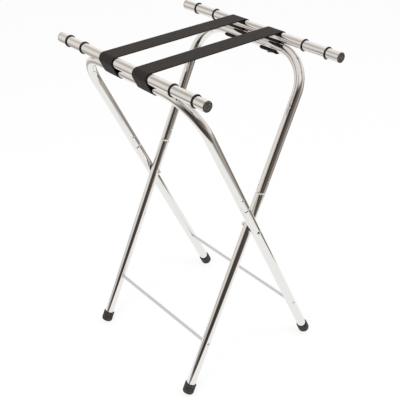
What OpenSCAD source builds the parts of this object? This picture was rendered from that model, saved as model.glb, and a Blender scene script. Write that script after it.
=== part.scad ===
// Folding tray stand: two crossed frames of bent steel tube, each with a rail on top,
// held open by two webbing straps and hinged on a bolt through each pair of crossing legs.
// Sizes are in millimetres. The stand is drawn open, on the floor, with the rails along Y.

/* [Stand] */
// Height from the floor to the top of the grip rings
overall_height = 787; // [700:1:900]
// Distance between the rail axes when the stand is open
rail_spread = 359; // [300:1:420]
// Distance between the leg axes at the floor when the stand is open
foot_spread = 381.4; // [320:0.2:450]
// Distance between the leg axes of the outer frame
outer_width = 398; // [380:1:440]

/* [Frame tube] */
// Outside diameter of the bow and leg tube
tube_d = 22.2; // [19:0.1:24]
// Wall of the bow and leg tube
tube_wall = 1.2; // [0.8:0.1:2]
// Bend radius of the outer bow, on the tube axis
outer_bend_r = 90; // [60:1:95]
// Bend radius of the inner bow, on the tube axis
inner_bend_r = 80; // [60:1:95]

/* [Rail] */
// Outside diameter of the rail tube
rail_d = 22.2; // [19:0.1:26]
// Wall of the rail tube
rail_wall = 1.2; // [0.8:0.1:2]
// Length of the rail tube
rail_length = 498.8; // [470:0.2:540]
// Space between the rail and the crossbar below it
rail_gap = 0.8; // [0.5:0.1:4]

/* [Leg joint] */
// Distance from the pivot up to the seam between leg and bow
seam_rise = 82.5; // [60:0.5:110]
// Length of the reduced neck of the leg inside the bow
neck_len = 52; // [45:1:80]
// Length of the bevel on each side of the seam
seam_edge_len = 2.2; // [0.6:0.1:4]
// Distance from the seam up to the rivet
rivet_rise = 33; // [15:1:38]
// Diameter of the rivet through bow and neck
rivet_d = 4; // [3:0.1:5]
// Diameter of the rivet heads
rivet_head_d = 7; // [6:0.1:9]
// Height of the rivet heads
rivet_head_h = 1.6; // [1:0.1:2]

/* [Pivot] */
// Diameter of the pivot bolts
pivot_bolt_d = 6; // [5:0.1:8]
// Diameter of the pivot bolt heads
pivot_head_d = 12; // [9:0.1:13]
// Height of the pivot bolt heads
pivot_head_h = 2.4; // [2:0.1:4]
// Space between an outer leg and the inner leg beside it
leg_gap = 2.8; // [2.5:0.1:5]
// Diameter of the spacer washers between the legs
spacer_d = 15; // [12:0.5:18]
// Width of the pivot nuts across the flats
pivot_nut_af = 10; // [9.6:0.1:13]
// Height of the hexagon of the pivot nuts
pivot_nut_h = 4.5; // [3:0.1:6]

/* [Stretcher] */
// Distance from the floor up the leg axis to the stretcher
stretcher_rise = 141; // [100:1:180]
// Diameter of the stretcher rod
stretcher_d = 8.5; // [7:0.1:10]
// Diameter of the tenons of the rod inside the legs
tenon_d = 6; // [4:0.1:6.5]
// Diameter of the riveted heads of the rod
tenon_head_d = 8.6; // [7:0.1:11]
// Height of the riveted heads of the rod
tenon_head_h = 1.4; // [1:0.1:2.4]

/* [Foot] */
// Outside diameter of the rubber foot
foot_d = 27.6; // [26.4:0.1:32]
// Length of the rubber foot
foot_len = 26; // [20:0.5:36]
// Thickness of the rubber under the leg
foot_base = 6; // [5.5:0.1:10]
// Radius of the rounded sole edge
foot_round = 4.5; // [3:0.1:5.4]
// Depth of the flat that the floor presses into the sole edge
foot_flat = 0.8; // [0.5:0.1:1.2]

/* [Grip rings] */
// Thickness of the rubber of a grip ring
ring_section = 2.6; // [2:0.1:3.5]
// Outer rail, front end ring to rail end
outer_ring_1_inset = 31; // [20:0.5:50]
// Outer rail, front inner ring past the start of the bow's bend
outer_ring_2_past_bend = 42.4; // [24:0.2:60]
// Outer rail, back inner ring past the start of the bow's bend
outer_ring_3_past_bend = 48.9; // [24:0.1:60]
// Outer rail, back end ring to rail end
outer_ring_4_inset = 33.5; // [20:0.5:50]
// Inner rail, front end ring to rail end
inner_ring_1_inset = 35; // [20:0.5:50]
// Inner rail, front inner ring past the start of the bow's bend
inner_ring_2_past_bend = 55.4; // [24:0.2:75]
// Inner rail, back inner ring past the start of the bow's bend
inner_ring_3_past_bend = 45.4; // [24:0.2:75]
// Inner rail, back end ring to rail end
inner_ring_4_inset = 44; // [20:0.5:50]

/* [End plugs] */
// Thickness of the plug flange
plug_flange_t = 2; // [1.2:0.1:4]
// Length of the plug inside the rail
plug_len = 16; // [10:0.5:20]
// Wall of the hollow plug
plug_wall = 1.6; // [1.2:0.1:2.4]
// Depth of the dish in the plug face
plug_dish = 0.7; // [0.3:0.1:1]
// Width of the rim round the dish
plug_rim = 3.2; // [2:0.1:5]

/* [Straps] */
// Width of the webbing
strap_width = 48; // [38:1:52]
// Thickness of the webbing
strap_t = 2; // [1.2:0.1:2.6]
// Distance from the strap edge to the start of the nearer bow's bend
strap_margin = 11.5; // [0:0.5:14]
// Angle of webbing carried past the bottom of the crossbar
strap_end_wrap = 38; // [28:1:50]
// Angle of the folded hem before the bottom of the crossbar
hem_wrap = 34; // [28:1:50]

/* [Strap screws] */
// Diameter of the screws that hold strap, crossbar and rail
screw_d = 5; // [4:0.1:6]
// Diameter of the screw heads
screw_head_d = 9; // [8:0.1:11]
// Height of the screw heads
screw_head_h = 3; // [2:0.1:4]
// Diameter of the cup washers
washer_d = 13; // [12:0.1:16]
// Thickness of the cup washers
washer_t = 1.2; // [0.8:0.1:2]
// Diameter of the threaded nut inside the rail
rail_nut_d = 9; // [8:0.1:11]
// Height of the threaded nut inside the rail
rail_nut_h = 6; // [4:0.1:8]
// Length of the saddle between rail and crossbar
saddle_len = 46; // [36:1:48]
// Width of the saddle between rail and crossbar
saddle_w = 14; // [10:0.5:16]

/* [Fits] */
// Radial clearance of the pivot bolts in the legs
pivot_fit = 0.06; // [0.02:0.01:0.1]
// Clearance of pieces that seat on a curved face
seat_clear = 0.05; // [0.02:0.01:0.1]
// Clearance of rivets, tenons and screws in their holes
hole_clear = 0.1; // [0.05:0.01:0.2]
// Clearance of the webbing round the tubes
strap_clear = 0.1; // [0.05:0.01:0.3]
// Clearance between parts of the two frames that turn past each other
run_clear = 0.3; // [0.2:0.05:0.4]

/* [Hidden] */
// Extra length of every cut past the face that it opens
overrun = 2;
// Depth of the seam bevels, as a share of the tube wall
seam_edge_share = 0.6;
// Share of the wall taken off the lead of a neck or plug
lead_share = 0.5;
// Length of the swaged step under a neck, as a share of the tube diameter
swage_share = 0.3;
// Radius of the lip of a foot, as a share of its side wall
lip_share = 0.45;
// Radius of the edge of a plug flange, as a share of its thickness
flange_round_share = 0.45;
// Places of the ribs along a plug, as shares of its length
rib_shares = [0.3, 0.55, 0.8];
// Width of a plug rib, as a share of the plug length
rib_width_share = 0.07;
// Height of the nut dome, as a share of the width across the flats
nut_dome_share = 0.42;
// Depth of thread in the nut dome, as a share of its height
nut_thread_share = 0.4;
// Size of the hexagon chamfer circle, as a share of the width across the flats
nut_chamfer_share = 1.12;
$fn = 96;

tube_r = tube_d / 2;
bore_r = tube_r - tube_wall;
rail_r = rail_d / 2;
rail_bore_r = rail_r - rail_wall;
inner_width = outer_width - 2 * (tube_d + leg_gap);
outer_straight = outer_width - 2 * outer_bend_r;
inner_straight = inner_width - 2 * inner_bend_r;

// Heights and lean of the crossed frames
ring_outer_r = rail_r + seat_clear + ring_section;
rail_z = overall_height - ring_outer_r;
half_reach = (rail_spread + foot_spread) / 2;
lean = atan(half_reach / rail_z);
pivot_z = rail_z * (foot_spread / 2) / half_reach;
rail_rise = (rail_z - pivot_z) / cos(lean);
floor_drop = pivot_z / cos(lean);
bar_rise = rail_rise - rail_r - rail_gap - tube_r;

// Leg joint
seam_edge = tube_wall * seam_edge_share;
neck_r = bore_r - seat_clear;
neck_bore_r = neck_r - tube_wall;
neck_lead = tube_wall * lead_share;
neck_top = seam_rise + neck_len;
swage_len = tube_d * swage_share;
rivet_z = seam_rise + rivet_rise;

// Foot: the lowest edge of the tilted sole lies the depth of its flat below the floor
foot_r = foot_d / 2;
foot_wall = foot_r - tube_r - seat_clear;
foot_lip_r = foot_wall * lip_share;
sole_drop = (foot_r - foot_round) * sin(lean) + foot_round * (1 - cos(lean));
sole_centre_z = sole_drop - foot_flat;
sole_z = -(pivot_z - sole_centre_z) / cos(lean);
leg_end_z = sole_z + foot_base;
stretcher_z = stretcher_rise - floor_drop;

// Straps
strap_y = min(inner_straight, outer_straight) / 2 - strap_margin - strap_width / 2;
wrap_rail_r = rail_r + strap_clear;
wrap_bar_r = tube_r + strap_clear;
wrap_tilt = asin((wrap_rail_r - wrap_bar_r) / (rail_rise - bar_rise));
hem_r = wrap_bar_r + 2 * strap_t;
hem_bottom = bar_rise - hem_r;
rail_c = [0, rail_rise];
bar_c = [0, bar_rise];

// Screws under the crossbars
washer_bottom = hem_bottom - seat_clear - washer_t;
washer_cup = hem_r - sqrt(hem_r * hem_r - washer_d * washer_d / 4);
screw_r = screw_d / 2;
screw_hole_r = screw_r + hole_clear;
nut_seat_z = rail_rise - rail_bore_r;

// Names of the separate solids

// Direction at an angle, in the plane of an outline
function heading(a) = [cos(a), sin(a)];

// Places its children in the plane of a frame: z runs up the legs from the pivot
module outer_frame() {
  translate([0, 0, pivot_z]) rotate([0, -lean, 0]) children();
}

module inner_frame() {
  translate([0, 0, pivot_z]) rotate([0, lean, 0]) children();
}

// Turns a solid that stands on z so that it points along side * y
module toward(side) {
  rotate([-90 * side, 0, 0]) children();
}

// Round bar along y, centred
module bar_y(r, len) {
  rotate([90, 0, 0]) cylinder(r = r, h = len, center = true);
}

// Domed head, flat side on z = 0
module dome_head(d, h) {
  ball_r = (h * h + d * d / 4) / (2 * h);
  rotate_extrude() intersection() {
    translate([0, h - ball_r]) circle(r = ball_r);
    square([d / 2, h]);
  }
}

// Solid run of a bow: crossbar, two bends and two legs down to the seam
module bow_run(width, bend_r, r, end_z) {
  straight = width - 2 * bend_r;
  translate([0, 0, bar_rise]) bar_y(r, straight);
  for (side = [-1, 1]) {
    mirror([0, side < 0 ? 1 : 0, 0]) translate([0, straight / 2, bar_rise - bend_r])
      rotate([90, 0, 90]) rotate_extrude(angle = 90) translate([bend_r, 0]) circle(r = r);
    translate([0, side * width / 2, end_z]) cylinder(r = r, h = bar_rise - bend_r - end_z);
  }
}

// Ring that bevels the end of a bow leg
module seam_edge_cut() {
  difference() {
    translate([0, 0, -overrun]) cylinder(r = tube_r + overrun, h = seam_edge_len + overrun);
    cylinder(r1 = tube_r - seam_edge, r2 = tube_r, h = seam_edge_len);
  }
}

// Bent tube that is the upper half of a frame
module bow(width, bend_r) {
  difference() {
    bow_run(width, bend_r, tube_r, seam_rise);
    bow_run(width, bend_r, bore_r, seam_rise - overrun);
    for (side = [-1, 1]) {
      translate([0, side * width / 2, seam_rise]) seam_edge_cut();
      translate([0, side * width / 2, rivet_z]) bar_y(rivet_d / 2 + hole_clear, tube_d + 2 * overrun);
      translate([0, side * strap_y, bar_rise])
        cylinder(r = screw_hole_r, h = tube_d + 2 * overrun, center = true);
    }
  }
}

// Lower leg: a turned profile with a reduced neck that slides into the bow
module leg(width, side) {
  translate([0, side * width / 2, 0]) difference() {
    rotate_extrude() polygon([
      [bore_r, leg_end_z],
      [tube_r, leg_end_z],
      [tube_r, seam_rise - seam_edge_len],
      [tube_r - seam_edge, seam_rise],
      [neck_r, seam_rise],
      [neck_r, neck_top - neck_lead],
      [neck_r - neck_lead, neck_top],
      [neck_bore_r, neck_top],
      [neck_bore_r, seam_rise - tube_wall],
      [bore_r, seam_rise - swage_len]
    ]);
    bar_y(pivot_bolt_d / 2 + pivot_fit, tube_d + 2 * overrun);
    translate([0, 0, rivet_z]) bar_y(rivet_d / 2 + hole_clear, tube_d + 2 * overrun);
    translate([0, 0, stretcher_z]) bar_y(tenon_d / 2 + hole_clear, tube_d + 2 * overrun);
  }
}

// Straight tube that the tray rests on
module rail() {
  translate([0, 0, rail_rise]) difference() {
    bar_y(rail_r, rail_length);
    bar_y(rail_bore_r, rail_length + 2 * overrun);
    for (side = [-1, 1])
      translate([0, side * strap_y, -rail_r - overrun])
        cylinder(r = screw_hole_r, h = rail_r + overrun);
  }
}

// Moulded end plug: a dished flange with a hollow ribbed shank
module rail_plug(side) {
  shank_r = rail_bore_r - 2 * seat_clear - plug_wall * lead_share;
  rib_r = rail_bore_r - seat_clear;
  hollow_r = shank_r - plug_wall;
  round_r = plug_flange_t * flange_round_share;
  translate([0, side * rail_length / 2, rail_rise]) toward(side) rotate_extrude() difference() {
    union() {
      square([rail_r, plug_flange_t - round_r]);
      square([rail_r - round_r, plug_flange_t]);
      translate([rail_r - round_r, plug_flange_t - round_r]) circle(r = round_r);
      translate([0, -plug_len]) square([shank_r, plug_len]);
      for (share = rib_shares)
        translate([0, -plug_len * share]) square([rib_r, plug_len * rib_width_share]);
    }
    translate([0, -plug_len - overrun]) square([hollow_r, plug_len + overrun]);
    translate([0, plug_flange_t - plug_dish]) square([rail_r - plug_rim, plug_dish + overrun]);
  }
}

// Rubber ring stretched round a rail
module grip_ring(y) {
  translate([0, y, rail_rise]) rotate([90, 0, 0]) rotate_extrude()
    translate([rail_r + seat_clear + ring_section / 2, 0]) circle(d = ring_section);
}

// Saddles that seat the rail on the crossbar
module rail_saddles() {
  for (side = [-1, 1]) translate([0, side * strap_y, 0]) difference() {
    translate([-saddle_w / 2, -saddle_len / 2, bar_rise])
      cube([saddle_w, saddle_len, rail_rise - bar_rise]);
    translate([0, 0, bar_rise]) bar_y(tube_r + seat_clear, saddle_len + 2 * overrun);
    translate([0, 0, rail_rise]) bar_y(rail_r + seat_clear, saddle_len + 2 * overrun);
    translate([0, 0, bar_rise]) cylinder(r = screw_hole_r, h = rail_rise - bar_rise);
  }
}

// Screws from under the crossbar into the rail
module rail_screws() {
  for (side = [-1, 1]) translate([0, side * strap_y, washer_bottom]) {
    mirror([0, 0, 1]) dome_head(screw_head_d, screw_head_h);
    cylinder(r = screw_r, h = nut_seat_z + rail_nut_h - washer_bottom);
  }
}

// Cup washers that press the strap hems to the crossbar
module screw_washers() {
  for (side = [-1, 1]) translate([0, side * strap_y, 0]) difference() {
    translate([0, 0, washer_bottom]) cylinder(d = washer_d, h = washer_t + washer_cup);
    translate([0, 0, bar_rise]) bar_y(hem_r + seat_clear, washer_d + 2 * overrun);
    translate([0, 0, washer_bottom - overrun]) cylinder(r = screw_hole_r, h = washer_t + 2 * overrun);
  }
}

// Threaded nuts seated inside the rail
module rail_nuts() {
  for (side = [-1, 1]) translate([0, side * strap_y, 0]) difference() {
    intersection() {
      translate([0, 0, nut_seat_z]) cylinder(d = rail_nut_d, h = rail_nut_h);
      translate([0, 0, rail_rise]) bar_y(rail_bore_r - seat_clear, 2 * rail_nut_d);
    }
    translate([0, 0, nut_seat_z - overrun])
      cylinder(r = screw_r + seat_clear, h = rail_nut_h + 2 * overrun);
  }
}

// Rivets through bow and neck, domed on both sides
module leg_rivets(width) {
  reach = tube_r + seat_clear;
  for (side = [-1, 1]) translate([0, side * width / 2, rivet_z]) {
    bar_y(rivet_d / 2, 2 * reach);
    for (end = [-1, 1])
      translate([0, end * reach, 0]) toward(end) dome_head(rivet_head_d, rivet_head_h);
  }
}

// Rod between the legs, shouldered on their inner faces and riveted over outside
module stretcher(width) {
  shoulder = width / 2 - tube_r - seat_clear;
  head = width / 2 + tube_r + seat_clear;
  translate([0, 0, stretcher_z]) {
    bar_y(stretcher_d / 2, 2 * shoulder);
    bar_y(tenon_d / 2, 2 * head);
    for (side = [-1, 1])
      translate([0, side * head, 0]) toward(side) dome_head(tenon_head_d, tenon_head_h);
  }
}

// Rubber cup on the end of a leg, before the floor flattens it
module foot_cup(width, side) {
  translate([0, side * width / 2, sole_z]) rotate_extrude() difference() {
    union() {
      square([foot_r - foot_round, foot_len]);
      translate([0, foot_round]) square([foot_r, foot_len - foot_round - foot_lip_r]);
      square([foot_r - foot_lip_r, foot_len]);
      translate([foot_r - foot_lip_r, foot_len - foot_lip_r]) circle(r = foot_lip_r);
    }
    translate([0, foot_base]) square([tube_r + seat_clear, foot_len]);
    difference() {
      translate([foot_r - foot_round, -overrun]) square([foot_round + overrun, foot_round + overrun]);
      translate([foot_r - foot_round, foot_round]) circle(r = foot_round);
    }
  }
}

// Everything below the floor under one foot
module below_floor(x, y) {
  translate([x - foot_d, y - foot_d, -2 * foot_d]) cube([2 * foot_d, 2 * foot_d, 2 * foot_d]);
}

// Part of a ring between two angles, in the plane of its centre
module arc_band(r, t, from, to) {
  far = 2 * (r + t);
  intersection() {
    difference() {
      circle(r = r + t);
      circle(r = r);
    }
    polygon([[0, 0], far * heading(from), far * heading((from + to) / 2), far * heading(to)]);
  }
}

// Outline round rail and crossbar together, at a distance from the inside of the webbing
module wrap_outline(distance) {
  left = heading(180 + wrap_tilt);
  right = heading(-wrap_tilt);
  translate(rail_c) circle(r = wrap_rail_r + distance);
  translate(bar_c) circle(r = wrap_bar_r + distance);
  polygon([
    rail_c + (wrap_rail_r + distance) * left,
    bar_c + (wrap_bar_r + distance) * left,
    bar_c + (wrap_bar_r + distance) * right,
    rail_c + (wrap_rail_r + distance) * right
  ]);
}

// Outline of the held end of a strap: over the rail, down the outside of rail and
// crossbar, and under the crossbar, where the end is folded back into a hem
module strap_end_outline() {
  last = 270 + strap_end_wrap;
  far = 2 * (rail_rise - bar_rise + hem_r);
  intersection() {
    difference() {
      wrap_outline(strap_t);
      wrap_outline(0);
    }
    polygon([
      rail_c,
      rail_c + far * heading(90 - lean),
      rail_c + far * heading(135),
      bar_c + far * heading(225),
      bar_c + far * heading(last),
      bar_c
    ]);
  }
  translate(bar_c) arc_band(wrap_bar_r, 2 * strap_t, 270 - hem_wrap, last);
  translate(bar_c + (wrap_bar_r + strap_t) * heading(last)) circle(r = strap_t);
}

module strap_end(side) {
  translate([0, side * strap_y, 0]) difference() {
    rotate([90, 0, 0]) linear_extrude(height = strap_width, center = true) strap_end_outline();
    translate([0, 0, hem_bottom - overrun]) cylinder(r = screw_hole_r, h = 2 * strap_t + 2 * overrun);
  }
}

// Free length of a strap between the two rails
module strap_span(side) {
  color("dimgray") translate([-rail_spread / 2, side * strap_y - strap_width / 2, rail_z + wrap_rail_r])
    cube([rail_spread - run_clear, strap_width, strap_t]);
}

module outer_bow() { color("silver") outer_frame() bow(outer_width, outer_bend_r); }
module outer_leg_front() { color("silver") outer_frame() leg(outer_width, -1); }
module outer_leg_back() { color("silver") outer_frame() leg(outer_width, 1); }
module outer_rail() { color("gainsboro") outer_frame() rail(); }
module outer_rail_plug_front() { color("dimgray") outer_frame() rail_plug(-1); }
module outer_rail_plug_back() { color("dimgray") outer_frame() rail_plug(1); }
module outer_ring_1() { color("black") outer_frame() grip_ring(outer_ring_1_inset - rail_length / 2); }
module outer_ring_2() {
  color("black") outer_frame() grip_ring(-outer_straight / 2 - outer_ring_2_past_bend);
}
module outer_ring_3() {
  color("black") outer_frame() grip_ring(outer_straight / 2 + outer_ring_3_past_bend);
}
module outer_ring_4() { color("black") outer_frame() grip_ring(rail_length / 2 - outer_ring_4_inset); }
module outer_rail_saddles() { color("dimgray") outer_frame() rail_saddles(); }
module outer_rail_screws() { color("lightgray") outer_frame() rail_screws(); }
module outer_screw_washers() { color("lightgray") outer_frame() screw_washers(); }
module outer_rail_nuts() { color("gray") outer_frame() rail_nuts(); }
module outer_leg_rivets() { color("lightgray") outer_frame() leg_rivets(outer_width); }
module outer_stretcher() { color("lightgray") outer_frame() stretcher(outer_width); }
module outer_strap_end_front() { color("dimgray") outer_frame() strap_end(-1); }
module outer_strap_end_back() { color("dimgray") outer_frame() strap_end(1); }

module outer_foot(side) {
  color("black") difference() {
    outer_frame() foot_cup(outer_width, side);
    below_floor(foot_spread / 2, side * outer_width / 2);
  }
}

module outer_foot_front() { outer_foot(-1); }
module outer_foot_back() { outer_foot(1); }

module inner_bow() { color("silver") inner_frame() bow(inner_width, inner_bend_r); }
module inner_leg_front() { color("silver") inner_frame() leg(inner_width, -1); }
module inner_leg_back() { color("silver") inner_frame() leg(inner_width, 1); }
module inner_rail() { color("gainsboro") inner_frame() rail(); }
module inner_rail_plug_front() { color("dimgray") inner_frame() rail_plug(-1); }
module inner_rail_plug_back() { color("dimgray") inner_frame() rail_plug(1); }
module inner_ring_1() { color("black") inner_frame() grip_ring(inner_ring_1_inset - rail_length / 2); }
module inner_ring_2() {
  color("black") inner_frame() grip_ring(-inner_straight / 2 - inner_ring_2_past_bend);
}
module inner_ring_3() {
  color("black") inner_frame() grip_ring(inner_straight / 2 + inner_ring_3_past_bend);
}
module inner_ring_4() { color("black") inner_frame() grip_ring(rail_length / 2 - inner_ring_4_inset); }
module inner_rail_saddles() { color("dimgray") inner_frame() rail_saddles(); }
module inner_rail_screws() { color("lightgray") inner_frame() rail_screws(); }
module inner_screw_washers() { color("lightgray") inner_frame() screw_washers(); }
module inner_rail_nuts() { color("gray") inner_frame() rail_nuts(); }
module inner_leg_rivets() { color("lightgray") inner_frame() leg_rivets(inner_width); }
module inner_stretcher() { color("lightgray") inner_frame() stretcher(inner_width); }
module inner_strap_end_front() { color("dimgray") inner_frame() mirror([1, 0, 0]) strap_end(-1); }
module inner_strap_end_back() { color("dimgray") inner_frame() mirror([1, 0, 0]) strap_end(1); }

module inner_foot(side) {
  color("black") difference() {
    inner_frame() foot_cup(inner_width, side);
    below_floor(-foot_spread / 2, side * inner_width / 2);
  }
}

module inner_foot_front() { inner_foot(-1); }
module inner_foot_back() { inner_foot(1); }

// Bolts through each outer leg, spacer and inner leg
module pivot_bolts() {
  head_y = outer_width / 2 + tube_r + seat_clear;
  tip_y = inner_width / 2 - tube_r - run_clear - pivot_nut_h;
  color("lightgray") for (side = [-1, 1]) translate([0, side * head_y, pivot_z]) {
    toward(side) dome_head(pivot_head_d, pivot_head_h);
    toward(-side) cylinder(d = pivot_bolt_d, h = head_y - tip_y);
  }
}

// Washers that keep the crossing legs apart
module pivot_spacers() {
  seat_y = outer_width / 2 - tube_r - seat_clear;
  color("dimgray") for (side = [-1, 1])
    translate([0, side * seat_y, pivot_z]) toward(-side) difference() {
    cylinder(d = spacer_d, h = leg_gap - seat_clear - run_clear);
    translate([0, 0, -overrun]) cylinder(r = pivot_bolt_d / 2 + pivot_fit, h = leg_gap + 2 * overrun);
  }
}

// Domed nuts on the inner ends of the bolts
module pivot_nuts() {
  seat_y = inner_width / 2 - tube_r - run_clear;
  dome_h = pivot_nut_af * nut_dome_share;
  corner_d = pivot_nut_af / cos(30);
  color("lightgray") for (side = [-1, 1])
    translate([0, side * seat_y, pivot_z]) toward(-side) difference() {
    union() {
      intersection() {
        cylinder(d = corner_d, h = pivot_nut_h, $fn = 6);
        cylinder(d1 = pivot_nut_af * nut_chamfer_share, d2 = corner_d + overrun, h = pivot_nut_h);
      }
      translate([0, 0, pivot_nut_h]) dome_head(pivot_nut_af, dome_h);
    }
    translate([0, 0, -overrun]) cylinder(
      r = pivot_bolt_d / 2 + seat_clear,
      h = overrun + pivot_nut_h + dome_h * nut_thread_share
    );
  }
}

module strap_span_front() { strap_span(-1); }
module strap_span_back() { strap_span(1); }

outer_bow();
outer_leg_front();
outer_leg_back();
outer_rail();
outer_rail_plug_front();
outer_rail_plug_back();
outer_ring_1();
outer_ring_2();
outer_ring_3();
outer_ring_4();
outer_rail_saddles();
outer_rail_screws();
outer_screw_washers();
outer_rail_nuts();
outer_leg_rivets();
outer_stretcher();
outer_foot_front();
outer_foot_back();
outer_strap_end_front();
outer_strap_end_back();
inner_bow();
inner_leg_front();
inner_leg_back();
inner_rail();
inner_rail_plug_front();
inner_rail_plug_back();
inner_ring_1();
inner_ring_2();
inner_ring_3();
inner_ring_4();
inner_rail_saddles();
inner_rail_screws();
inner_screw_washers();
inner_rail_nuts();
inner_leg_rivets();
inner_stretcher();
inner_foot_front();
inner_foot_back();
inner_strap_end_front();
inner_strap_end_back();
pivot_bolts();
pivot_spacers();
pivot_nuts();
strap_span_front();
strap_span_back();
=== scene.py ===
import math

import bmesh
import bpy
from mathutils import Matrix, Vector


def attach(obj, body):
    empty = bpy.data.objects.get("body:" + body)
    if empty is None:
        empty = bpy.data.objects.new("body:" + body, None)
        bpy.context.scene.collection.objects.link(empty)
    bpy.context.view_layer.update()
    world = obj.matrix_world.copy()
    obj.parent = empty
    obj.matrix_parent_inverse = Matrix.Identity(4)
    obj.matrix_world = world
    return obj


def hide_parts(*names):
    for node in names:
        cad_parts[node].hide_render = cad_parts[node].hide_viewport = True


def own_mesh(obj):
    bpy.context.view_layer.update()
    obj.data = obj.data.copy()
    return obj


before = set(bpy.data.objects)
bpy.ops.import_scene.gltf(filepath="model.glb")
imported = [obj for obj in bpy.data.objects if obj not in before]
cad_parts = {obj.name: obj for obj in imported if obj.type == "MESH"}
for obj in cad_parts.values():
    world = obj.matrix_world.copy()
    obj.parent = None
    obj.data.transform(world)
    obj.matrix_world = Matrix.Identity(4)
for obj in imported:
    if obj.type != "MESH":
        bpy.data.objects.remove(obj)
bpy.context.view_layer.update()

MM = 0.001

# Sizes of the stand, as in the part's source
RAIL_SPREAD = 359 * MM
FOOT_SPREAD = 381.4 * MM
OVERALL_HEIGHT = 787 * MM
RING_OUTER_R = 13.75 * MM
TUBE_R = 11.1 * MM
RAIL_GAP = 0.8 * MM
RAIL_Z = OVERALL_HEIGHT - RING_OUTER_R
HALF_REACH = (RAIL_SPREAD + FOOT_SPREAD) / 2
LEAN = math.atan(HALF_REACH / RAIL_Z)
PIVOT_Z = RAIL_Z * (FOOT_SPREAD / 2) / HALF_REACH
RAIL_RISE = (RAIL_Z - PIVOT_Z) / math.cos(LEAN)
BAR_RISE = RAIL_RISE - 2 * TUBE_R - RAIL_GAP

# The two frames, with the side of the stand that each one's rail is on
FRAMES = ((-1, "outer"), (1, "inner"))

# Webbing, and how it is held round rail and crossbar
STRAP_W = 48 * MM
STRAP_T = 2 * MM
STRAP_Y = 58.5 * MM
STRAP_CLEAR = 0.1 * MM
STRAP_MIDDLE_R = TUBE_R + STRAP_CLEAR + STRAP_T / 2
STRAP_TOP_Z = RAIL_Z + STRAP_MIDDLE_R
STRAP_END_WRAP = math.radians(38)
HEM_WRAP = math.radians(34)
HEM_GAP = 0.15 * MM
HEM_MIDDLE_R = STRAP_MIDDLE_R + STRAP_T + HEM_GAP
LEAD_IN = 7 * MM

# Camera, fitted to the rail ends, rings, seams and feet
CAMERA_AZIMUTH = math.radians(-39.326)
CAMERA_ELEVATION = math.radians(31.789)
CAMERA_ROLL = math.radians(-1.126)
CAMERA_DISTANCE = 1686.06 * MM
CAMERA_AIM = Vector((-41.93, -55.74, 430.80)) * MM
CAMERA_LENS = 65.77
SENSOR_WIDTH = 36.0


def linear(hex_colour):
    """Linear colour of an sRGB hex value."""
    channels = [int(hex_colour[i:i + 2], 16) / 255 for i in (1, 3, 5)]
    values = [c / 12.92 if c <= 0.04045 else ((c + 0.055) / 1.055) ** 2.4 for c in channels]
    return (*values, 1.0)


def add(tree, kind, links=None, values=None, stops=None, **settings):
    """Adds a node with its settings, input values, input links and colour stops."""
    made = tree.nodes.new(kind)
    for name, value in settings.items():
        setattr(made, name, value)
    for key, value in (values or {}).items():
        made.inputs[key].default_value = value
    for key, source in (links or {}).items():
        tree.links.new(source, made.inputs[key])
    for i, (place, colour) in enumerate(stops or []):
        marks = made.color_ramp.elements
        mark = marks[i] if i < len(marks) else marks.new(place)
        mark.position = place
        mark.color = linear(colour)
    return made


WHOLE = (0.0, 1.0)


def spans(given=WHOLE, wanted=WHOLE):
    """Map Range values that take one span of numbers to another."""
    return {"From Min": given[0], "From Max": given[1], "To Min": wanted[0], "To Max": wanted[1]}


def clear_tree(owner):
    """Emptied node tree of a material or of the world."""
    owner.use_nodes = True
    owner.node_tree.nodes.clear()
    return owner.node_tree


def new_object(name, data):
    """Object with this data, put in the scene."""
    made = bpy.data.objects.new(name, data)
    bpy.context.scene.collection.objects.link(made)
    return made


def mesh_object(name, made, material):
    """Object of a finished bmesh, with its material."""
    mesh = bpy.data.meshes.new(name)
    made.to_mesh(mesh)
    made.free()
    mesh.materials.append(material)
    return new_object(name, mesh)


# Sizes of patterns, and how much of a noise shows as smudge, scuff or wear
SMUDGE = 22 * MM
SMUDGE_SHOWS = (0.4, 0.75)
CHROME_ROUGHNESS = (0.02, 0.05)
WAVE_W = 9 * MM
WAVE_L = 70 * MM
WAVE_DEPTH = 0.1 * MM
ZINC_CLOUD = 3 * MM
ZINC_ROUGHNESS = (0.25, 0.45)
DRAWN_LINE_W = 1.5 * MM
DRAWN_LINE_L = 40 * MM
ROD_ROUGHNESS = (0.3, 0.44)
SCUFF_SHOWS = (0.38, 0.68)
SCUFF_ROUGHNESS = 0.08
WEAR = 14 * MM
WEAR_SHOWS = (0.35, 0.8)
WEAVE_DEPTH = 0.3 * MM

# Threads of the webbing in millimetres, drawn twice as coarse as the real ones so that they show
CORD_MM = 3.0
PICK_MM = 2.4
SELVEDGE_MM = 2.2


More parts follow.
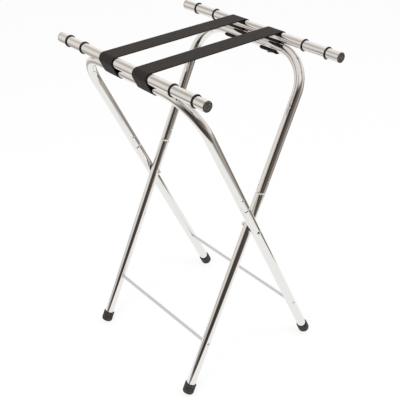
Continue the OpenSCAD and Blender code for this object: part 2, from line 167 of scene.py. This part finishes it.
def chrome_plate(name, turn):
    """Bright chrome over drawn and polished tube: a clear mirror, a little wavy along the tube, with
    faint handling smudges that soften it in places."""
    material = bpy.data.materials.new(name)
    tree = clear_tree(material)
    place = add(tree, "ShaderNodeTexCoord")
    smudge = add(tree, "ShaderNodeTexNoise", {"Vector": place.outputs["Object"]},
                 {"Scale": 1 / SMUDGE, "Detail": 3.0})
    rough = add(tree, "ShaderNodeMapRange", {"Value": smudge.outputs[0]},
                spans(SMUDGE_SHOWS, CHROME_ROUGHNESS))
    tint = add(tree, "ShaderNodeMix", {"Factor": smudge.outputs[0]},
               {"A": linear("#F6F6F6"), "B": linear("#EEEEED")}, data_type="RGBA")
    # Shallow waves from drawing, long in the direction of the tube, make the mirrored streaks waver
    along = add(tree, "ShaderNodeMapping", {"Vector": place.outputs["Object"]},
                {"Rotation": turn, "Scale": (1 / WAVE_W, 1 / WAVE_W, 1 / WAVE_L)})
    wave = add(tree, "ShaderNodeTexNoise", {"Vector": along.outputs[0]}, {"Scale": 1.0, "Detail": 1.0})
    bump = add(tree, "ShaderNodeBump", {"Height": wave.outputs[0]},
               {"Strength": 0.2, "Distance": WAVE_DEPTH})
    shader = add(tree, "ShaderNodeBsdfPrincipled",
                 {"Base Color": tint.outputs["Result"], "Roughness": rough.outputs[0],
                  "Normal": bump.outputs[0]}, {"Metallic": 1.0})
    add(tree, "ShaderNodeOutputMaterial", {"Surface": shader.outputs[0]})
    return material


def zinc_plate(name, light, dark, pattern, detail, roughness):
    """Zinc plate: grey metal that is only half bright. The pattern's size along each axis makes it cloudy
    on pressed steel, and on drawn rod gives an even satin shine with lines along it hardly seen."""
    material = bpy.data.materials.new(name)
    tree = clear_tree(material)
    place = add(tree, "ShaderNodeTexCoord")
    sized = add(tree, "ShaderNodeMapping", {"Vector": place.outputs["Object"]},
                {"Scale": [1 / size for size in pattern]})
    grain = add(tree, "ShaderNodeTexNoise", {"Vector": sized.outputs[0]}, {"Scale": 1.0, "Detail": detail})
    tint = add(tree, "ShaderNodeMix", {"Factor": grain.outputs[0]},
               {"A": linear(light), "B": linear(dark)}, data_type="RGBA")
    rough = add(tree, "ShaderNodeMapRange", {"Value": grain.outputs[0]}, spans(wanted=roughness))
    shader = add(tree, "ShaderNodeBsdfPrincipled",
                 {"Base Color": tint.outputs["Result"], "Roughness": rough.outputs[0]}, {"Metallic": 1.0})
    add(tree, "ShaderNodeOutputMaterial", {"Surface": shader.outputs[0]})
    return material


def matte_grain(name, dark, light, grain_mm, scuff_mm, roughness, depth_mm):
    """Matte and finely grained, from the mould on rubber and plastic and from the twist on thread, with
    paler scuffs in patches."""
    material = bpy.data.materials.new(name)
    tree = clear_tree(material)
    place = add(tree, "ShaderNodeTexCoord")
    grain = add(tree, "ShaderNodeTexNoise", {"Vector": place.outputs["Object"]},
                {"Scale": 1 / (grain_mm * MM), "Detail": 2.0})
    scuff = add(tree, "ShaderNodeTexNoise", {"Vector": place.outputs["Object"]},
                {"Scale": 1 / (scuff_mm * MM), "Detail": 4.0})
    worn = add(tree, "ShaderNodeMapRange", {"Value": scuff.outputs[0]}, spans(SCUFF_SHOWS))
    tint = add(tree, "ShaderNodeMix", {"Factor": worn.outputs[0]},
               {"A": linear(dark), "B": linear(light)}, data_type="RGBA")
    rough = add(tree, "ShaderNodeMapRange", {"Value": scuff.outputs[0]},
                spans(wanted=(roughness - SCUFF_ROUGHNESS, roughness + SCUFF_ROUGHNESS)))
    bump = add(tree, "ShaderNodeBump", {"Height": grain.outputs[0]},
               {"Strength": 0.5, "Distance": depth_mm * MM})
    shader = add(tree, "ShaderNodeBsdfPrincipled",
                 {"Base Color": tint.outputs["Result"], "Roughness": rough.outputs[0],
                  "Normal": bump.outputs[0]}, {"Specular IOR Level": 0.3})
    add(tree, "ShaderNodeOutputMaterial", {"Surface": shader.outputs[0]})
    return material


def webbing():
    """Woven polypropylene webbing: rows of fat lengthwise cords, cross threads that dip between them,
    a tighter and darker selvedge, and a dull satin where the thread lies flat. Its colour is painted darker
    in the dips of the weave and lighter on its crests: painted shade and painted highlight that follow the
    bump."""
    material = bpy.data.materials.new("woven_polypropylene_webbing")
    tree = clear_tree(material)
    # The map is in millimetres: length of the strap, then place across its width
    place = add(tree, "ShaderNodeUVMap", uv_map="weave")
    parts = add(tree, "ShaderNodeSeparateXYZ", {"Vector": place.outputs[0]})
    cord = add(tree, "ShaderNodeMath", {0: parts.outputs[1]}, {1: 2 * math.pi / CORD_MM},
               operation="MULTIPLY")
    cord_wave = add(tree, "ShaderNodeMath", {0: cord.outputs[0]}, operation="COSINE")
    pick = add(tree, "ShaderNodeMath", {0: parts.outputs[0]}, {1: 2 * math.pi / PICK_MM},
               operation="MULTIPLY")
    # Every other cord goes over where its neighbours go under
    half_cord = add(tree, "ShaderNodeMath", {0: cord.outputs[0]}, {1: 0.5}, operation="MULTIPLY")
    side_wave = add(tree, "ShaderNodeMath", {0: half_cord.outputs[0]}, operation="COSINE")
    over = add(tree, "ShaderNodeMath", {0: side_wave.outputs[0]}, operation="SIGN")
    turned = add(tree, "ShaderNodeMath", {0: over.outputs[0]}, {1: math.pi / 2}, operation="MULTIPLY")
    shifted = add(tree, "ShaderNodeMath", {0: pick.outputs[0], 1: turned.outputs[0]}, operation="ADD")
    pick_wave = add(tree, "ShaderNodeMath", {0: shifted.outputs[0]}, operation="SINE")
    ribs = add(tree, "ShaderNodeMath", {0: cord_wave.outputs[0], 1: pick_wave.outputs[0]}, operation="ADD")
    weave = add(tree, "ShaderNodeMapRange", {"Value": ribs.outputs[0]}, spans((-2.0, 2.0)))
    across = add(tree, "ShaderNodeMath", {0: parts.outputs[1]}, operation="ABSOLUTE")
    half_mm = STRAP_W / MM / 2
    edge = add(tree, "ShaderNodeMapRange", {"Value": across.outputs[0]},
               spans((half_mm - SELVEDGE_MM, half_mm - SELVEDGE_MM / 2)))
    spot = add(tree, "ShaderNodeTexCoord")
    wear = add(tree, "ShaderNodeTexNoise", {"Vector": spot.outputs["Object"]},
               {"Scale": 1 / WEAR, "Detail": 4.0})
    worn = add(tree, "ShaderNodeMapRange", {"Value": wear.outputs[0]}, spans(WEAR_SHOWS))
    # The weave's height also sets the colour: painted shade in the dips between cords and picks, painted
    # highlight on the crests
    yarn_painted_shade = add(tree, "ShaderNodeMix", {"Factor": weave.outputs[0]},
               {"A": linear("#181513"), "B": linear("#312B28")}, data_type="RGBA")
    faded = add(tree, "ShaderNodeMix", {"Factor": worn.outputs[0], "A": yarn_painted_shade.outputs["Result"]},
                {"B": linear("#2E2926")}, data_type="RGBA")
    tint = add(tree, "ShaderNodeMix", {"Factor": edge.outputs[0], "A": faded.outputs["Result"]},
               {"B": linear("#171412")}, data_type="RGBA")
    bump = add(tree, "ShaderNodeBump", {"Height": weave.outputs[0]},
               {"Strength": 0.6, "Distance": WEAVE_DEPTH})
    shader = add(tree, "ShaderNodeBsdfPrincipled",
                 {"Base Color": tint.outputs["Result"], "Normal": bump.outputs[0]},
                 {"Roughness": 0.66, "Specular IOR Level": 0.16, "Sheen Weight": 0.04,
                  "Sheen Roughness": 0.4})
    add(tree, "ShaderNodeOutputMaterial", {"Surface": shader.outputs[0]})
    return material


RAIL_CHROME = chrome_plate("chrome_plated_rail", (math.radians(90), 0, 0))
OUTER_CHROME = chrome_plate("chrome_plated_outer_frame", (0, LEAN, 0))
INNER_CHROME = chrome_plate("chrome_plated_inner_frame", (0, -LEAN, 0))
ZINC = zinc_plate("zinc_plated_pressed_steel", "#B9BABD", "#9C9DA1",
                  (ZINC_CLOUD, ZINC_CLOUD, ZINC_CLOUD), detail=3.0, roughness=ZINC_ROUGHNESS)
ROD = zinc_plate("zinc_plated_drawn_rod", "#F0F3F7", "#E4E7EB",
                 (DRAWN_LINE_W, DRAWN_LINE_L, DRAWN_LINE_W), detail=2.0, roughness=ROD_ROUGHNESS)
RING_RUBBER = matte_grain("moulded_rubber_ring", "#25221F", "#3B3632",
                          grain_mm=0.3, scuff_mm=6, roughness=0.45, depth_mm=0.02)
FOOT_RUBBER = matte_grain("moulded_rubber_foot", "#2A2826", "#47423F",
                          grain_mm=0.5, scuff_mm=5, roughness=0.7, depth_mm=0.05)
PLUG_PLASTIC = matte_grain("moulded_polyethylene_plug", "#33302D", "#635D57",
                           grain_mm=0.6, scuff_mm=4, roughness=0.6, depth_mm=0.05)
SADDLE_NYLON = matte_grain("moulded_nylon_saddle", "#171615", "#262423",
                           grain_mm=0.4, scuff_mm=5, roughness=0.5, depth_mm=0.02)
SPACER_NYLON = matte_grain("moulded_nylon_spacer", "#4A4A47", "#5E5E5A",
                           grain_mm=0.4, scuff_mm=5, roughness=0.5, depth_mm=0.02)
THREAD = matte_grain("twisted_polyester_thread", "#191716", "#2B2826",
                     grain_mm=0.3, scuff_mm=3, roughness=0.6, depth_mm=0.03)
WEBBING = webbing()

# Words in the nodes' names that tell their material. The other nodes are chrome.
MATERIAL_WORDS = (("strap", WEBBING), ("ring_", RING_RUBBER), ("foot", FOOT_RUBBER),
                  ("plug", PLUG_PLASTIC), ("spacer", SPACER_NYLON), ("saddles", SADDLE_NYLON),
                  ("rail_nuts", ZINC), ("stretcher", ROD))


def material_of(name):
    for word, material in MATERIAL_WORDS:
        if word in name:
            return material
    if name.endswith("_rail") or name.startswith("pivot"):
        return RAIL_CHROME
    return OUTER_CHROME if name.startswith("outer") else INNER_CHROME


for name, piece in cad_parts.items():
    piece.data.materials.clear()
    piece.data.materials.append(material_of(name))

# Directions round a tube in a frame's own plane, and the steps that a strap's curves are drawn in
UPWARD = math.radians(90)
OUTWARD = math.radians(180)
DOWNWARD = math.radians(270)
LEAD_STEPS = 3
RAIL_WRAP_STEPS = 20
BAR_WRAP_STEPS = 24
FOLD_STEPS = 8
HEM_STEPS = 14
SPAN_STEPS = 36
FACE_STEPS = 12
SELVEDGE_TURNS = [math.radians(degrees) for degrees in (60, 30, 0, -30, -60)]


def in_frame(side, across, up):
    """Point of a frame's own plane in the stand: side -1 is the outer frame, 1 the inner one."""
    x = across * math.cos(LEAN) - up * math.sin(LEAN)
    z = PIVOT_Z + across * math.sin(LEAN) + up * math.cos(LEAN)
    return Vector((-side * x, 0, z))


def arc(centre_up, radius, first, last, steps):
    """Points of a frame's plane round a tube, each as its place across and up."""
    angles = [first + (last - first) * i / steps for i in range(steps + 1)]
    return [(radius * math.cos(a), centre_up + radius * math.sin(a)) for a in angles]


def held_line(side):
    """Middle line of a held strap end: in from the span, over rail and crossbar, and back as a hem."""
    last = DOWNWARD + STRAP_END_WRAP
    line = arc(RAIL_RISE, STRAP_MIDDLE_R, UPWARD - LEAN, OUTWARD, RAIL_WRAP_STEPS)
    line += arc(BAR_RISE, STRAP_MIDDLE_R, OUTWARD, last, BAR_WRAP_STEPS)
    fold_r = (STRAP_T + HEM_GAP) / 2
    reach = STRAP_MIDDLE_R + fold_r
    for i in range(1, FOLD_STEPS):
        a = last + math.pi + math.pi * i / FOLD_STEPS
        line.append((reach * math.cos(last) + fold_r * math.cos(a),
                     BAR_RISE + reach * math.sin(last) + fold_r * math.sin(a)))
    line += arc(BAR_RISE, HEM_MIDDLE_R, last, DOWNWARD - HEM_WRAP, HEM_STEPS)
    lead_at = [RAIL_SPREAD / 2 - LEAD_IN * (LEAD_STEPS - i) / LEAD_STEPS for i in range(LEAD_STEPS)]
    lead = [Vector((side * x, 0, STRAP_TOP_Z)) for x in lead_at]
    return lead + [in_frame(side, across, up) for across, up in line]


def strap_section():
    """Section of the webbing: flat faces and round selvedges, as places across and through it."""
    half_t = STRAP_T / 2
    flat = STRAP_W / 2 - half_t
    face = [(-flat + 2 * flat * i / FACE_STEPS, half_t) for i in range(FACE_STEPS + 1)]
    selvedge = [(flat + half_t * math.cos(a), half_t * math.sin(a)) for a in SELVEDGE_TURNS]
    one_half = face + selvedge
    return one_half + [(-across, -through) for across, through in one_half]


def webbing_piece(name, line, y, start):
    """Closed length of webbing along a line of points in the X-Z plane, with its weave map in
    millimetres from start on. Gives the piece and its length."""
    section = strap_section()
    count = len(section)
    made = bmesh.new()
    weave = made.loops.layers.uv.new("weave")
    rows, runs = [], []
    run = start
    for i, point in enumerate(line):
        before = line[max(i - 1, 0)]
        after = line[min(i + 1, len(line) - 1)]
        along = (after - before).normalized()
        normal = Vector((-along.z, 0, along.x))
        rows.append([made.verts.new(point + normal * through + Vector((0, y + across, 0)))
                     for across, through in section])
        run += (point - before).length
        runs.append(run)
    for i in range(len(rows) - 1):
        for k in range(count):
            n = (k + 1) % count
            corners = ((i, k), (i, n), (i + 1, n), (i + 1, k))
            face = made.faces.new([rows[row][spot] for row, spot in corners])
            face.smooth = True
            for loop, (row, spot) in zip(face.loops, corners):
                loop[weave].uv = (runs[row] / MM, section[spot][0] / MM)
    for row in (rows[0], rows[-1]):
        cap = made.faces.new(row)
        for edge in cap.edges:
            edge.smooth = False
    bmesh.ops.recalc_face_normals(made, faces=made.faces)
    piece = mesh_object(name, made, WEBBING)
    return piece, run - start


# Each half of a span lies flat at the strap's height over the rails, from the middle of the stand out to
# where its lead-in begins, this far along.
HALF_SPAN = RAIL_SPREAD / 2 - LEAD_IN

for place, y in (("front", -STRAP_Y), ("back", STRAP_Y)):
    for side, frame_name in FRAMES:
        body = f"{frame_name}_frame"
        held, held_length = webbing_piece(f"strap_held_{frame_name}_{place}", held_line(side), y, HALF_SPAN)
        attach(held, body)
        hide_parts(f"{frame_name}_strap_end_{place}")
        line = [Vector((side * HALF_SPAN * i / SPAN_STEPS, 0, STRAP_TOP_Z)) for i in range(SPAN_STEPS + 1)]
        half, half_length = webbing_piece(f"strap_span_{frame_name}_{place}", line, y, 0.0)
        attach(half, body)
        if side < 0:
            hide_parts(f"strap_span_{place}")
        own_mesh(half)

# A box of stitches holds each hem. The thread is drawn at its real size.
STITCH_PITCH = 3.6 * MM
STITCH_LENGTH = 2.9 * MM
STITCH_SLANT = math.radians(6)
STITCH_SEED = 4
THREAD_D = 0.8 * MM
BEAD_SEGMENTS = 8
BEAD_RINGS = 6
BOX_INSET = 3 * MM
BOX_STEPS = 12


def stitch_tree():
    """Lays a bead of thread at every pitch along the drawn lines, each turned a little out of line."""
    tree = bpy.data.node_groups.new("hem_stitches", "GeometryNodeTree")
    inputs = (("Lines", "NodeSocketGeometry"), ("Pitch", "NodeSocketFloat"), ("Length", "NodeSocketFloat"),
              ("Thickness", "NodeSocketFloat"), ("Slant", "NodeSocketFloat"), ("Seed", "NodeSocketInt"))
    for label, kind in inputs:
        tree.interface.new_socket(label, in_out="INPUT", socket_type=kind)
    tree.interface.new_socket("Stitches", in_out="OUTPUT", socket_type="NodeSocketGeometry")
    given = add(tree, "NodeGroupInput").outputs
    curve = add(tree, "GeometryNodeMeshToCurve", {"Mesh": given["Lines"]})
    spaced = add(tree, "GeometryNodeResampleCurve", {"Curve": curve.outputs[0], "Length": given["Pitch"]},
                 mode="LENGTH")
    tangent = add(tree, "GeometryNodeInputTangent")
    turn = add(tree, "FunctionNodeAlignRotationToVector", {"Vector": tangent.outputs[0]}, axis="X")
    # The bead is 1 m across, so that its scale is its size
    bead = add(tree, "GeometryNodeMeshUVSphere",
               values={"Segments": BEAD_SEGMENTS, "Rings": BEAD_RINGS, "Radius": 0.5})
    smooth = add(tree, "GeometryNodeSetShadeSmooth", {"Geometry": bead.outputs["Mesh"]})
    size = add(tree, "ShaderNodeCombineXYZ",
               {"X": given["Length"], "Y": given["Thickness"], "Z": given["Thickness"]})
    laid = add(tree, "GeometryNodeInstanceOnPoints",
               {"Points": spaced.outputs[0], "Instance": smooth.outputs[0], "Rotation": turn.outputs[0],
                "Scale": size.outputs[0]})
    other_way = add(tree, "ShaderNodeMath", {0: given["Slant"]}, {1: -1.0}, operation="MULTIPLY")
    slant = add(tree, "FunctionNodeRandomValue",
                {2: other_way.outputs[0], 3: given["Slant"], "Seed": given["Seed"]}, data_type="FLOAT")
    twist = add(tree, "ShaderNodeCombineXYZ", {"Z": slant.outputs[1]})
    slanted = add(tree, "GeometryNodeRotateInstances",
                  {"Instances": laid.outputs[0], "Rotation": twist.outputs[0]})
    whole = add(tree, "GeometryNodeRealizeInstances", {"Geometry": slanted.outputs[0]})
    dyed = add(tree, "GeometryNodeSetMaterial", {"Geometry": whole.outputs[0]}, {"Material": THREAD})
    add(tree, "NodeGroupOutput", {0: dyed.outputs[0]})
    return tree


def hem_box(side, y):
    """Corners of the stitched box on the outside of a hem, in order, as points of the stand."""
    surface = HEM_MIDDLE_R + STRAP_T / 2
    inset = BOX_INSET / surface
    first = DOWNWARD - HEM_WRAP + inset
    last = DOWNWARD + STRAP_END_WRAP - inset
    half = STRAP_W / 2 - BOX_INSET
    edge = [in_frame(side, across, up) for across, up in arc(BAR_RISE, surface, first, last, BOX_STEPS)]
    there = [point + Vector((0, y - half, 0)) for point in edge]
    back_again = [point + Vector((0, y + half, 0)) for point in reversed(edge)]
    return there + back_again


def hem_stitches(side, frame_name, tree):
    """Stitches of a frame's two hems, as one piece."""
    name = f"hem_stitches_{frame_name}"
    points, edges = [], []
    for y in (-STRAP_Y, STRAP_Y):
        box = hem_box(side, y)
        first = len(points)
        points += box
        edges += [(first + i, first + (i + 1) % len(box)) for i in range(len(box))]
    drawn = bpy.data.meshes.new(name + "_lines")
    drawn.from_pydata(points, edges, [])
    piece = new_object(name, drawn)
    sewing = piece.modifiers.new("sewing", "NODES")
    sewing.node_group = tree
    sizes = {"Pitch": STITCH_PITCH, "Length": STITCH_LENGTH, "Thickness": THREAD_D,
             "Slant": STITCH_SLANT, "Seed": STITCH_SEED + side}
    for item in tree.interface.items_tree:
        if item.in_out == "INPUT" and item.name in sizes:
            sewing[item.identifier] = sizes[item.name]
    ready = piece.evaluated_get(bpy.context.evaluated_depsgraph_get())
    sewn = bpy.data.meshes.new_from_object(ready)
    piece.modifiers.clear()
    piece.data = sewn
    sewn.name = name
    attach(piece, f"{frame_name}_frame")


sewing_tree = stitch_tree()
for side, frame_name in FRAMES:
    hem_stitches(side, frame_name, sewing_tree)


def photo_camera():
    """Camera where the photograph was taken from, turned as it was."""
    back = Vector((math.sin(CAMERA_AZIMUTH) * math.cos(CAMERA_ELEVATION),
                   -math.cos(CAMERA_AZIMUTH) * math.cos(CAMERA_ELEVATION),
                   math.sin(CAMERA_ELEVATION)))
    level = (-back).cross(Vector((0, 0, 1))).normalized()
    upright = level.cross(-back)
    right = level * math.cos(CAMERA_ROLL) + upright * math.sin(CAMERA_ROLL)
    up = -level * math.sin(CAMERA_ROLL) + upright * math.cos(CAMERA_ROLL)
    lens = bpy.data.cameras.new("photo_camera")
    lens.lens = CAMERA_LENS
    lens.sensor_width = SENSOR_WIDTH
    camera = new_object("photo_camera", lens)
    turn = Matrix((right, up, back)).transposed().to_4x4()
    camera.matrix_world = Matrix.Translation(CAMERA_AIM + back * CAMERA_DISTANCE) @ turn
    bpy.context.scene.camera = camera


# Tones of the studio that the chrome mirrors
WHITE = "#F9F6F2"
PALE = "#E8E2DC"
SILVER = "#D0C9C2"
GREY = "#B4ACA4"
STONE = "#968E86"
SLATE = "#746B64"
UMBER = "#584F48"
DARK = "#3B332D"
PAPER_MIRRORED = "#F6F5F3"
PAPER = "#FBFBFB"
PURE_WHITE = (1, 1, 1, 1)

# They stand by compass direction from the stand, in degrees: 0 is +Y, 90 is +X and the camera is at -141.
# A pale room lies behind. On the camera's side it is dark with a white wall above, and grey on the right.
ROOM_LOW = [(-180, SLATE), (-150, UMBER), (-120, DARK), (-105, DARK), (-90, STONE), (-75, PALE), (0, PALE),
            (40, WHITE), (90, WHITE), (140, SILVER), (160, STONE)]
ROOM_BAND = [(-180, WHITE), (-150, WHITE), (-120, GREY), (-85, PALE), (-50, SILVER), (-20, GREY),
             (15, SILVER), (30, WHITE), (65, PALE), (90, GREY)]
FLOOR_MID = [(-180, UMBER), (-120, DARK), (-90, STONE), (-60, STONE), (-20, GREY), (20, SILVER), (50, GREY),
             (75, STONE), (100, SLATE), (125, STONE), (150, GREY)]
FLOOR_FAR = [(-180, UMBER), (-120, DARK), (-90, DARK), (-65, GREY), (-45, SILVER), (0, WHITE), (30, PALE),
             (60, GREY), (85, STONE), (120, SILVER), (150, GREY)]

# Heights of the room as the rise of a direction: band and ceiling begin and end softly, and the edge of
# the dark side leans by these shares of the circle, further round to the left higher up
BAND_EDGE = (0.36, 0.66)
CEILING_EDGE = (0.69, 0.87)
LEAN_RISE = (0.0, 0.21)
LEAN_SHARE = (-0.021, 0.017)
STUDIO_LIGHT = 0.86

# Floor: distances in metres from the middle of the paper at which it ends and the walls' foot begins
FLOOR_R = 8.0
FLOOR_SEGMENTS = 96
PAPER_CENTRE = (0.06, 0.15, 0)
PAPER_EDGE = (0.84, 1.18)
WALL_EDGE = (1.3, 4.3)
# How much of the paper's own shading the camera sees. The rest is plain white.
PAPER_SHADING = 0.2
# Soft edges of a dark flag on the right, which gives the front leg its thin dark line: axis, start, end
FLAG_EDGES = ((0, 0.58, 0.7), (1, -0.05, -0.17), (1, -0.7, -0.55))

SOFTBOXES = (("softbox_left", (-1.6, -0.6, 2.2), 20), ("softbox_right", (1.4, -1.6, 1.9), 12))
SOFTBOX_SIZE = 1.2
SOFTBOX_AIM = (0, 0, 0.4)


def around(tree, direction, tones, turn=None):
    """Colour by compass direction, turned by a share of the circle."""
    parts = add(tree, "ShaderNodeSeparateXYZ", {"Vector": direction})
    angle = add(tree, "ShaderNodeMath", {0: parts.outputs[0], 1: parts.outputs[1]}, operation="ARCTAN2")
    share = add(tree, "ShaderNodeMapRange", {"Value": angle.outputs[0]},
                spans((-math.pi, math.pi))).outputs[0]
    if turn is not None:
        share = add(tree, "ShaderNodeMath", {0: share, 1: turn}, operation="ADD").outputs[0]
    ends = [(0.0, tones[0][1]), (1.0, tones[0][1])]
    stops = ends + [((degrees + 180) / 360, tone) for degrees, tone in tones[1:]]
    return add(tree, "ShaderNodeValToRGB", {"Fac": share}, stops=stops).outputs[0]


def ray_kinds(tree):
    """Whether a ray is the camera's own, and whether a mirror or glass sent it on, as 1 or 0."""
    ray = add(tree, "ShaderNodeLightPath")
    sent_on = add(tree, "ShaderNodeMath",
                  {0: ray.outputs["Is Glossy Ray"], 1: ray.outputs["Is Transmission Ray"]},
                  operation="MAXIMUM")
    return ray.outputs["Is Camera Ray"], sent_on.outputs[0]


def studio_world():
    """White to the camera, an even light on the stand, and a room of plain tones in the chrome."""
    world = bpy.data.worlds.new("studio")
    bpy.context.scene.world = world
    tree = clear_tree(world)
    to_camera, to_mirror = ray_kinds(tree)
    direction = add(tree, "ShaderNodeTexCoord").outputs["Generated"]
    rise = add(tree, "ShaderNodeSeparateXYZ", {"Vector": direction}).outputs[2]
    lean = add(tree, "ShaderNodeMapRange", {"Value": rise}, spans(LEAN_RISE, LEAN_SHARE))
    low = around(tree, direction, ROOM_LOW, lean.outputs[0])
    band = around(tree, direction, ROOM_BAND)
    in_band = add(tree, "ShaderNodeMapRange", {"Value": rise}, spans(BAND_EDGE),
                  interpolation_type="SMOOTHSTEP")
    in_ceiling = add(tree, "ShaderNodeMapRange", {"Value": rise}, spans(CEILING_EDGE),
                     interpolation_type="SMOOTHSTEP")
    walls = add(tree, "ShaderNodeMix", {"Factor": in_band.outputs[0], "A": low, "B": band},
                data_type="RGBA")
    room = add(tree, "ShaderNodeMix", {"Factor": in_ceiling.outputs[0], "A": walls.outputs["Result"]},
               {"B": linear(PALE)}, data_type="RGBA")
    mirrored = add(tree, "ShaderNodeBackground", {"Color": room.outputs["Result"]}, {"Strength": 1.0})
    plain = add(tree, "ShaderNodeBackground", values={"Color": PURE_WHITE, "Strength": STUDIO_LIGHT})
    white = add(tree, "ShaderNodeBackground", values={"Color": PURE_WHITE, "Strength": 1.0})
    lit = add(tree, "ShaderNodeMixShader", {0: to_mirror, 1: plain.outputs[0], 2: mirrored.outputs[0]})
    seen = add(tree, "ShaderNodeMixShader", {0: to_camera, 1: lit.outputs[0], 2: white.outputs[0]})
    add(tree, "ShaderNodeOutputWorld", {"Surface": seen.outputs[0]})


def floor_paper():
    """White paper: white to the camera but for the stand's soft shadow, and fading out in the chrome."""
    material = bpy.data.materials.new("white_paper_floor")
    tree = clear_tree(material)
    to_camera, to_mirror = ray_kinds(tree)
    paper = add(tree, "ShaderNodeBsdfDiffuse", values={"Color": linear(PAPER)})
    bright = add(tree, "ShaderNodeEmission", values={"Color": PURE_WHITE, "Strength": 1.0})
    shown = add(tree, "ShaderNodeMixShader", {1: bright.outputs[0], 2: paper.outputs[0]},
                {0: PAPER_SHADING})
    place = add(tree, "ShaderNodeTexCoord").outputs["Object"]
    distance = add(tree, "ShaderNodeVectorMath", {0: place}, {1: PAPER_CENTRE},
                   operation="DISTANCE").outputs["Value"]
    off_paper = add(tree, "ShaderNodeMapRange", {"Value": distance}, spans(PAPER_EDGE),
                    interpolation_type="SMOOTHSTEP")
    to_wall = add(tree, "ShaderNodeMapRange", {"Value": distance}, spans(WALL_EDGE),
                  interpolation_type="SMOOTHSTEP")
    near = add(tree, "ShaderNodeMix", {"Factor": off_paper.outputs[0], "B": around(tree, place, FLOOR_MID)},
               {"A": linear(PAPER_MIRRORED)}, data_type="RGBA")
    far = add(tree, "ShaderNodeMix", {"Factor": to_wall.outputs[0], "A": near.outputs["Result"],
                                      "B": around(tree, place, FLOOR_FAR)}, data_type="RGBA")
    parts = add(tree, "ShaderNodeSeparateXYZ", {"Vector": place})
    in_flag = None
    for axis, start, end in FLAG_EDGES:
        edge = add(tree, "ShaderNodeMapRange", {"Value": parts.outputs[axis]}, spans((start, end)),
                   interpolation_type="SMOOTHSTEP").outputs[0]
        if in_flag is None:
            in_flag = edge
        else:
            in_flag = add(tree, "ShaderNodeMath", {0: in_flag, 1: edge}, operation="MULTIPLY").outputs[0]
    flagged = add(tree, "ShaderNodeMix", {"Factor": in_flag, "A": far.outputs["Result"]},
                  {"B": linear(SLATE)}, data_type="RGBA")
    mirrored = add(tree, "ShaderNodeEmission", {"Color": flagged.outputs["Result"]}, {"Strength": 1.0})
    soft = add(tree, "ShaderNodeMixShader", {0: to_mirror, 1: paper.outputs[0], 2: mirrored.outputs[0]})
    seen = add(tree, "ShaderNodeMixShader", {0: to_camera, 1: soft.outputs[0], 2: shown.outputs[0]})
    add(tree, "ShaderNodeOutputMaterial", {"Surface": seen.outputs[0]})
    return material


def studio_floor():
    made = bmesh.new()
    bmesh.ops.create_circle(made, cap_ends=True, segments=FLOOR_SEGMENTS, radius=FLOOR_R)
    mesh_object("studio_floor", made, floor_paper())


def softbox(name, place, power):
    """Soft lamp that the chrome doesn't mirror: the room already stands for it there."""
    lamp = bpy.data.lights.new(name, "AREA")
    lamp.shape = "SQUARE"
    lamp.size = SOFTBOX_SIZE
    lamp.energy = power
    piece = new_object(name, lamp)
    facing = (Vector(SOFTBOX_AIM) - Vector(place)).to_track_quat("-Z", "Y")
    piece.matrix_world = Matrix.Translation(Vector(place)) @ facing.to_matrix().to_4x4()
    piece.visible_glossy = False


photo_camera()
studio_world()
studio_floor()
for name, place, power in SOFTBOXES:
    softbox(name, place, power)

bpy.context.scene.view_settings.view_transform = "Standard"
